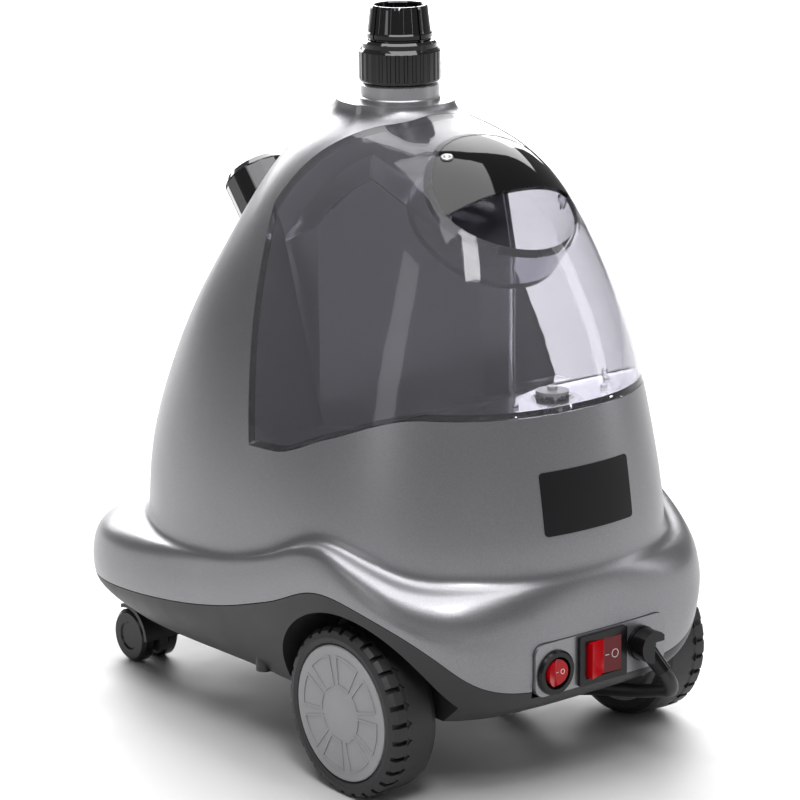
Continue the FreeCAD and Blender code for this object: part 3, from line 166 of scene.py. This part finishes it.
def surface(name, color, roughness, metallic=0.0, mottle=0.06, grain=0.1, grain_scale=900.0, **sockets):
    """A solid finish: faint mottling of colour, uneven gloss and a fine grain."""
    material, tree, shader = new_material(name, color, roughness, metallic, **sockets)
    broad, fine = noise(tree, 35.0), noise(tree, grain_scale, 2.0)
    vary_color(tree, broad, shader.inputs["Base Color"], shade(color, 1 - mottle), shade(color, 1 + mottle))
    vary(tree, broad, shader.inputs["Roughness"], roughness * 0.88, roughness * 1.12)
    bump(tree, fine, shader, grain, 0.0001)
    return material


def silver_paint():
    """Grey metallic paint: fine flakes that differ in brightness under a soft clear coat."""
    color = (0.24, 0.24, 0.253)
    material, tree, shader = new_material(
        "silver_paint", color, 0.37, 0.85, Coat_Weight=0.15, Coat_Roughness=0.15)
    flakes = noise(tree, 2600.0, 1.0)
    vary_color(tree, flakes, shader.inputs["Base Color"], shade(color, 0.88), shade(color, 1.14))
    vary(tree, noise(tree, 22.0), shader.inputs["Roughness"], 0.35, 0.39)
    bump(tree, flakes, shader, 0.05, 0.00005)
    return material


def rocker_red(name, seam):
    """Glossy red plastic, lit on the pressed side of the seam; beyond the seam the red is darkened as
    painted shade of the half that faces away from the light.
    """
    # painted shade: the second red is a darker copy of the lit red, laid on the rocker's half beyond the
    # seam where less light falls
    bright, painted_shade_red = (0.40, 0.002, 0.006), (0.10, 0.001, 0.004)
    material, tree, shader = new_material(name, bright, 0.16, Specular_IOR_Level=0.3)
    place = tree.nodes.new("ShaderNodeTexCoord")
    axes = tree.nodes.new("ShaderNodeSeparateXYZ")
    span = tree.nodes.new("ShaderNodeMapRange")
    span.inputs["From Min"].default_value = seam - 0.0004
    span.inputs["From Max"].default_value = seam + 0.0004
    # the mix turns from the lit red to the painted shade red across the seam along X
    blend = tree.nodes.new("ShaderNodeMix")
    blend.data_type = "RGBA"
    blend.inputs["A"].default_value = (*bright, 1.0)
    blend.inputs["B"].default_value = (*painted_shade_red, 1.0)
    tree.links.new(place.outputs["Object"], axes.inputs["Vector"])
    tree.links.new(axes.outputs["X"], span.inputs["Value"])
    tree.links.new(span.outputs["Result"], blend.inputs["Factor"])
    tree.links.new(blend.outputs["Result"], shader.inputs["Base Color"])
    vary(tree, noise(tree, 60.0), shader.inputs["Roughness"], 0.13, 0.19)
    return material


def clear_plastic(name, tint):
    """Clear moulded plastic, a little uneven, with a faint haze."""
    material, tree, shader = new_material(name, tint, 0.03, Transmission_Weight=0.96, IOR=1.32)
    bump(tree, noise(tree, 18.0), shader, 0.06, 0.0006)
    vary(tree, noise(tree, 60.0), shader.inputs["Roughness"], 0.015, 0.05)
    return material


finishes = {
    "shell": silver_paint(),
    "dark_base": surface("charcoal_plastic", (0.016, 0.016, 0.0175), 0.44, grain=0.25),
    "clear_tank": clear_plastic("clear_plastic", (0.70, 0.695, 0.735)),
    "silver_trim": surface("silver_collar", (0.36, 0.36, 0.375), 0.3, 0.8),
    "dark_chrome": surface("dark_chrome", (0.035, 0.035, 0.037), 0.1, 0.9, grain=0.03, Coat_Weight=0.8),
    "black_plastic": surface("black_plastic", (0.004, 0.004, 0.0045), 0.24, grain=0.05,
                             Specular_IOR_Level=0.3),
    "white_plastic": surface("white_plastic", (0.68, 0.68, 0.66), 0.45),
    "red_plastic": surface("red_plastic", (0.36, 0.002, 0.006), 0.16, mottle=0.04, grain=0.02,
                           Specular_IOR_Level=0.3),
    "tyre_rubber": surface("tyre_rubber", (0.016, 0.016, 0.017), 0.55, grain=0.35, mottle=0.15),
    "hub_grey": surface("hub_grey", (0.29, 0.29, 0.30), 0.42, 0.2),
    "steel": surface("steel", (0.56, 0.56, 0.57), 0.28, 1.0),
    "spring_steel": surface("spring_steel", (0.5, 0.5, 0.5), 0.3, 1.0),
    "boiler_cast": surface("cast_aluminium", (0.55, 0.55, 0.56), 0.5, 1.0, grain=0.5, grain_scale=500.0),
    "soft_seal": surface("seal_rubber", (0.05, 0.05, 0.05), 0.6),
    "silicone": surface("silicone", (0.7, 0.66, 0.58), 0.4),
    "cord_jacket": surface("cord_jacket", (0.012, 0.012, 0.013), 0.45, grain=0.2),
    "label_black": surface("label_black", (0.005, 0.005, 0.006), 0.5, grain=0.02, Specular_IOR_Level=0.2),
    "visor_black": surface("visor_black", (0.003, 0.003, 0.003), 0.05, grain=0.0, Specular_IOR_Level=0.4),
    # red with painted shade on the half beyond the seam, for the power rocker
    "rocker_red_painted_shade": rocker_red("rocker_red_painted_shade", 0.0007),
}

slots = {entry["node"]: entry["material_slot"] for entry in frame["record"]["subparts"]}
slots["grip_visor"] = "visor_black"
# the power rocker takes the red with painted shade on one half
slots["power_rocker"] = "rocker_red_painted_shade"
slots["tank_cap"] = "white_plastic"
for name, obj in nodes.items():
    obj.data.materials.clear()
    obj.data.materials.append(finishes[slots[name]])


# ---------------------------------------------------------------- power cord
CORD_RADIUS = 0.0035
COIL_X, COIL_Y = 0.080, 0.2207
COIL_RADII = (0.0490, 0.0418, 0.0346)
COIL_LAYERS = (0.0044, 0.0116)
STEPS = 16                  # points for each turn of the coil
cord_route = [
    (0.03293, -0.17963, 0.05694), (0.0345, -0.1812, 0.0540), (0.0366, -0.1813, 0.0501),
    (0.0387, -0.1796, 0.0465), (0.0403, -0.1763, 0.0439), (0.0422, -0.1674, 0.0414),
    (0.0435, -0.1513, 0.0360), (0.0460, -0.1273, 0.0300), (0.0475, -0.0993, 0.0224),
    (0.0480, -0.0693, 0.0130), (0.0465, -0.0373, 0.0054), (0.0410, -0.0023, 0.0035),
    (0.0320, 0.0307, 0.0035), (0.0220, 0.0627, 0.0035), (0.0145, 0.0947, 0.0035),
    (0.0120, 0.1277, 0.0035), (0.0160, 0.1607, 0.0035), (0.0265, 0.1917, 0.0035)]


def coil_points():
    """Three turns inwards on the floor and three outwards on top, clockwise, from the coil's left side."""
    points = []
    for layer, radii in zip(COIL_LAYERS, (COIL_RADII, COIL_RADII[::-1])):
        for turn, radius in enumerate(radii):
            following = radii[turn + 1] if turn + 1 < len(radii) else radius
            for step in range(STEPS):
                share = step / STEPS
                shift = max(0.0, (share - 0.75) * 4)
                r = radius + (following - radius) * shift
                z = layer
                if layer == COIL_LAYERS[0] and turn == len(radii) - 1:
                    z += (COIL_LAYERS[1] - COIL_LAYERS[0]) * shift
                angle = math.pi - 2 * math.pi * share
                points.append((COIL_X + r * math.cos(angle), COIL_Y + r * math.sin(angle), z))
    for step in range(STEPS // 2 + 1):
        angle = math.pi - 2 * math.pi * step / STEPS
        points.append((COIL_X + COIL_RADII[0] * math.cos(angle), COIL_Y + COIL_RADII[0] * math.sin(angle),
                       COIL_LAYERS[1]))
    return points


def spline_object(name, points, radius, body):
    data = bpy.data.curves.new(name, "CURVE")
    data.dimensions = "3D"
    data.bevel_depth = 1.0              # a share of each point's radius
    data.bevel_resolution = 6
    data.resolution_u = 8
    data.use_fill_caps = True
    spline = data.splines.new("NURBS")
    spline.points.add(len(points) - 1)
    for point, place in zip(spline.points, points):
        point.co = (*place, 1.0)
        point.radius = radius
    spline.order_u = 3
    spline.use_endpoint_u = True
    return add_object(name, data, body)


lead_end = (COIL_X + COIL_RADII[0], COIL_Y - 0.012, COIL_LAYERS[1])
cord = spline_object("mains_lead", cord_route + coil_points() + [lead_end], CORD_RADIUS, "base_unit")
cord.data.materials.append(finishes["cord_jacket"])
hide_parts("power_cord", "cord_coil")


# ---------------------------------------------------------------- small details
BEHIND = -0.4               # a place well behind the machine, from which faces are sought
STROKE_HALF, STROKE_RISE = 0.00013, 0.00010


def rear_face(node, x, z):
    """The point of a node's rear face straight in front of (x, z), and the face's direction there."""
    obj = nodes[node]
    inverse = obj.matrix_world.inverted()
    start, ray = inverse @ Vector((x, BEHIND, z)), inverse.to_3x3() @ Vector((0, 1, 0))
    _, place, facing, _ = obj.ray_cast(start, ray)
    return obj.matrix_world @ place, (obj.matrix_world.to_3x3() @ facing).normalized()


def switch_mark(name, node, aside, radii, count):
    """A raised stroke on a rocker, aside of its middle: a ring, or a bar if radii is (half length, 0)."""
    low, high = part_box(node)
    x, z = (low.x + high.x) / 2 + aside, (low.z + high.z) / 2
    is_ring = radii[1] > 0
    lanes = []
    for side in (-STROKE_HALF, STROKE_HALF):
        if is_ring:
            turns = [2 * math.pi * k / count for k in range(count)]
            lanes.append([(x + (radii[0] + side) * math.cos(turn), z + (radii[1] + side) * math.sin(turn))
                          for turn in turns])
        else:
            lanes.append([(x + radii[0] * (2 * k / (count - 1) - 1), z + side) for k in range(count)])
    inner, outer = lanes
    section = ((inner, 0.0), (inner, STROKE_RISE), (outer, STROKE_RISE), (outer, 0.0))
    bm = bmesh.new()
    rows = [[bm.verts.new(rear_face(node, *spot)[0] - Vector((0, lift, 0))) for spot in lane]
            for lane, lift in section]
    for first, second in zip(rows, rows[1:] + rows[:1]):
        bridge(bm, first, second, closed=is_ring)
    if not is_ring:
        for end in (0, -1):
            bm.faces.new([row[end] for row in rows])
    bmesh.ops.recalc_face_normals(bm, faces=bm.faces)
    mesh_piece(name, bm, node, "white_plastic")


switch_mark("power_mark_off", "power_rocker", 0.0069, (0.0019, 0.0021), 32)
switch_mark("power_mark_on", "power_rocker", 0.0021, (0.0012, 0.0), 6)
switch_mark("aux_mark_off", "aux_rocker", 0.0037, (0.0010, 0.0012), 28)
switch_mark("aux_mark_on", "aux_rocker", 0.0004, (0.0008, 0.0), 6)


def visor_hook(name, side):
    """A small clear hook at a lower corner of the visor, that snaps over the pocket's rim."""
    low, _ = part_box("grip_visor")
    corner = Vector((abs(low.x) - 0.0048, low.y + 0.0089, low.z + 0.0010))
    profile = ((0.0, 0.0015), (0.0042, 0.0010), (0.0046, -0.0030), (0.0030, -0.0062), (0.0012, -0.0064),
               (0.0014, -0.0030), (0.0, -0.0022))
    depth, edge_round = 0.0022, 0.00035
    bm = bmesh.new()
    front, back = ([bm.verts.new((side * (corner.x + x), corner.y + y, corner.z + z)) for x, z in profile]
                   for y in (0.0, depth))
    bm.faces.new(front)
    bm.faces.new(back)
    bridge(bm, front, back)
    bmesh.ops.recalc_face_normals(bm, faces=bm.faces)
    bmesh.ops.bevel(bm, geom=bm.edges[:], offset=edge_round, segments=2, affect="EDGES")
    mesh_piece(name, bm, "tank", "clear_tank")


def visor_catch():
    """The small oval catch near the visor's top: a raised ring with a dimple in it."""
    low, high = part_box("grip_visor")
    place, facing = rear_face("grip_visor", low.x + 0.0164, high.z - 0.0068)
    turn = facing.to_track_quat("Z", "Y").to_matrix()
    dimple, stretch, sides = 0.0003, 1.3, 32
    outline = ((0.0009, 0.0003), (0.0013, 0.0009), (0.0019, 0.0011), (0.0024, 0.0008), (0.0026, -0.0004))
    bm = bmesh.new()
    centre = bm.verts.new(place + turn @ Vector((0, 0, dimple)))
    angles = [2 * math.pi * k / sides for k in range(sides)]
    loops = []
    for radius, rise in outline:
        rim = [Vector((stretch * radius * math.cos(a), radius * math.sin(a), rise)) for a in angles]
        loops.append([bm.verts.new(place + turn @ spot) for spot in rim])
    for k in range(sides):
        bm.faces.new((centre, loops[0][k], loops[0][(k + 1) % sides]))
    for inner, outer in zip(loops, loops[1:]):
        bridge(bm, inner, outer)
    bm.faces.new(loops[-1])
    bmesh.ops.recalc_face_normals(bm, faces=bm.faces)
    mesh_piece("visor_catch", bm, "tank", "silver_trim", smooth=True)


visor_hook("visor_hook_right", 1)
visor_hook("visor_hook_left", -1)
visor_catch()


def valve_spring():
    """The coil spring round the valve's stem, made at the fixed height of the valve_spring part; it does
    not shorten as the valve lifts.
    """
    low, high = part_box("valve_spring")
    axis = (low + high) / 2
    wire, turns, steps, sides = 0.00042, 7, 24, 8
    coil = (high.x - low.x) / 2 - wire
    bottom, height = low.z + wire, high.z - low.z - 2 * wire
    upwards = Vector((0, 0, 1))
    bm = bmesh.new()
    loops = []
    for k in range(turns * steps + 1):
        angle = 2 * math.pi * k / steps
        out = Vector((math.cos(angle), math.sin(angle), 0))
        place = Vector((axis.x, axis.y, bottom + height * k / (turns * steps))) + out * coil
        around = [2 * math.pi * n / sides for n in range(sides)]
        loops.append([bm.verts.new(place + wire * (out * math.cos(a) + upwards * math.sin(a)))
                      for a in around])
    for first, second in zip(loops, loops[1:]):
        bridge(bm, first, second)
    bm.faces.new(loops[0])
    bm.faces.new(loops[-1])
    bmesh.ops.recalc_face_normals(bm, faces=bm.faces)
    spring = mesh_piece("valve_coil_spring", bm, "cap", "spring_steel", smooth=True)
    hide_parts("valve_spring")
    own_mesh(spring)


valve_spring()


# ---------------------------------------------------------------- floor and light
FLOOR_HALF = 6.0
MIDDLE = (0.0, 0.0, 0.17)   # of the machine, which the lights face
WORLD_STRENGTH = 0.18


def make_floor():
    bm = bmesh.new()
    bmesh.ops.create_grid(bm, x_segments=1, y_segments=1, size=FLOOR_HALF)
    mesh = bpy.data.meshes.new("floor")
    bm.to_mesh(mesh)
    bm.free()
    obj = bpy.data.objects.new("floor", mesh)
    bpy.context.scene.collection.objects.link(obj)
    obj.data.materials.append(surface("floor_white", (0.56, 0.56, 0.56), 0.6, mottle=0.005, grain=0.02))


def add_light(name, place, aim, size, power):
    data = bpy.data.lights.new(name, "AREA")
    data.shape = "RECTANGLE"
    data.size, data.size_y = size
    data.energy = power
    obj = bpy.data.objects.new(name, data)
    obj.location = place
    obj.rotation_euler = (Vector(aim) - Vector(place)).to_track_quat("-Z", "Y").to_euler()
    obj.visible_camera = False
    bpy.context.scene.collection.objects.link(obj)


make_floor()
add_light("overhead", (-0.15, -0.35, 2.3), MIDDLE, (2.2, 2.2), 62.0)
add_light("key", (-0.75, -1.2, 1.7), MIDDLE, (0.45, 0.62), 15.0)
add_light("left_window", (-2.0, -0.1, 0.9), MIDDLE, (0.4, 1.3), 3.0)
add_light("right_strip", (1.6, -1.1, 0.9), MIDDLE, (0.35, 1.5), 6.0)
add_light("far_low", (1.6, 2.9, 1.4), MIDDLE, (3.8, 1.7), 105.0)
add_light("far_floor", (2.2, 3.2, 2.6), (2.2, 3.0, 0.0), (4.5, 4.5), 270.0)
world = bpy.data.worlds.new("studio")
world.use_nodes = True
world.node_tree.nodes["Background"].inputs["Color"].default_value = (1.0, 1.0, 1.0, 1.0)
world.node_tree.nodes["Background"].inputs["Strength"].default_value = WORLD_STRENGTH
bpy.context.scene.world = world
bpy.context.scene.view_settings.view_transform = "Standard"

bpy.context.view_layer.update()
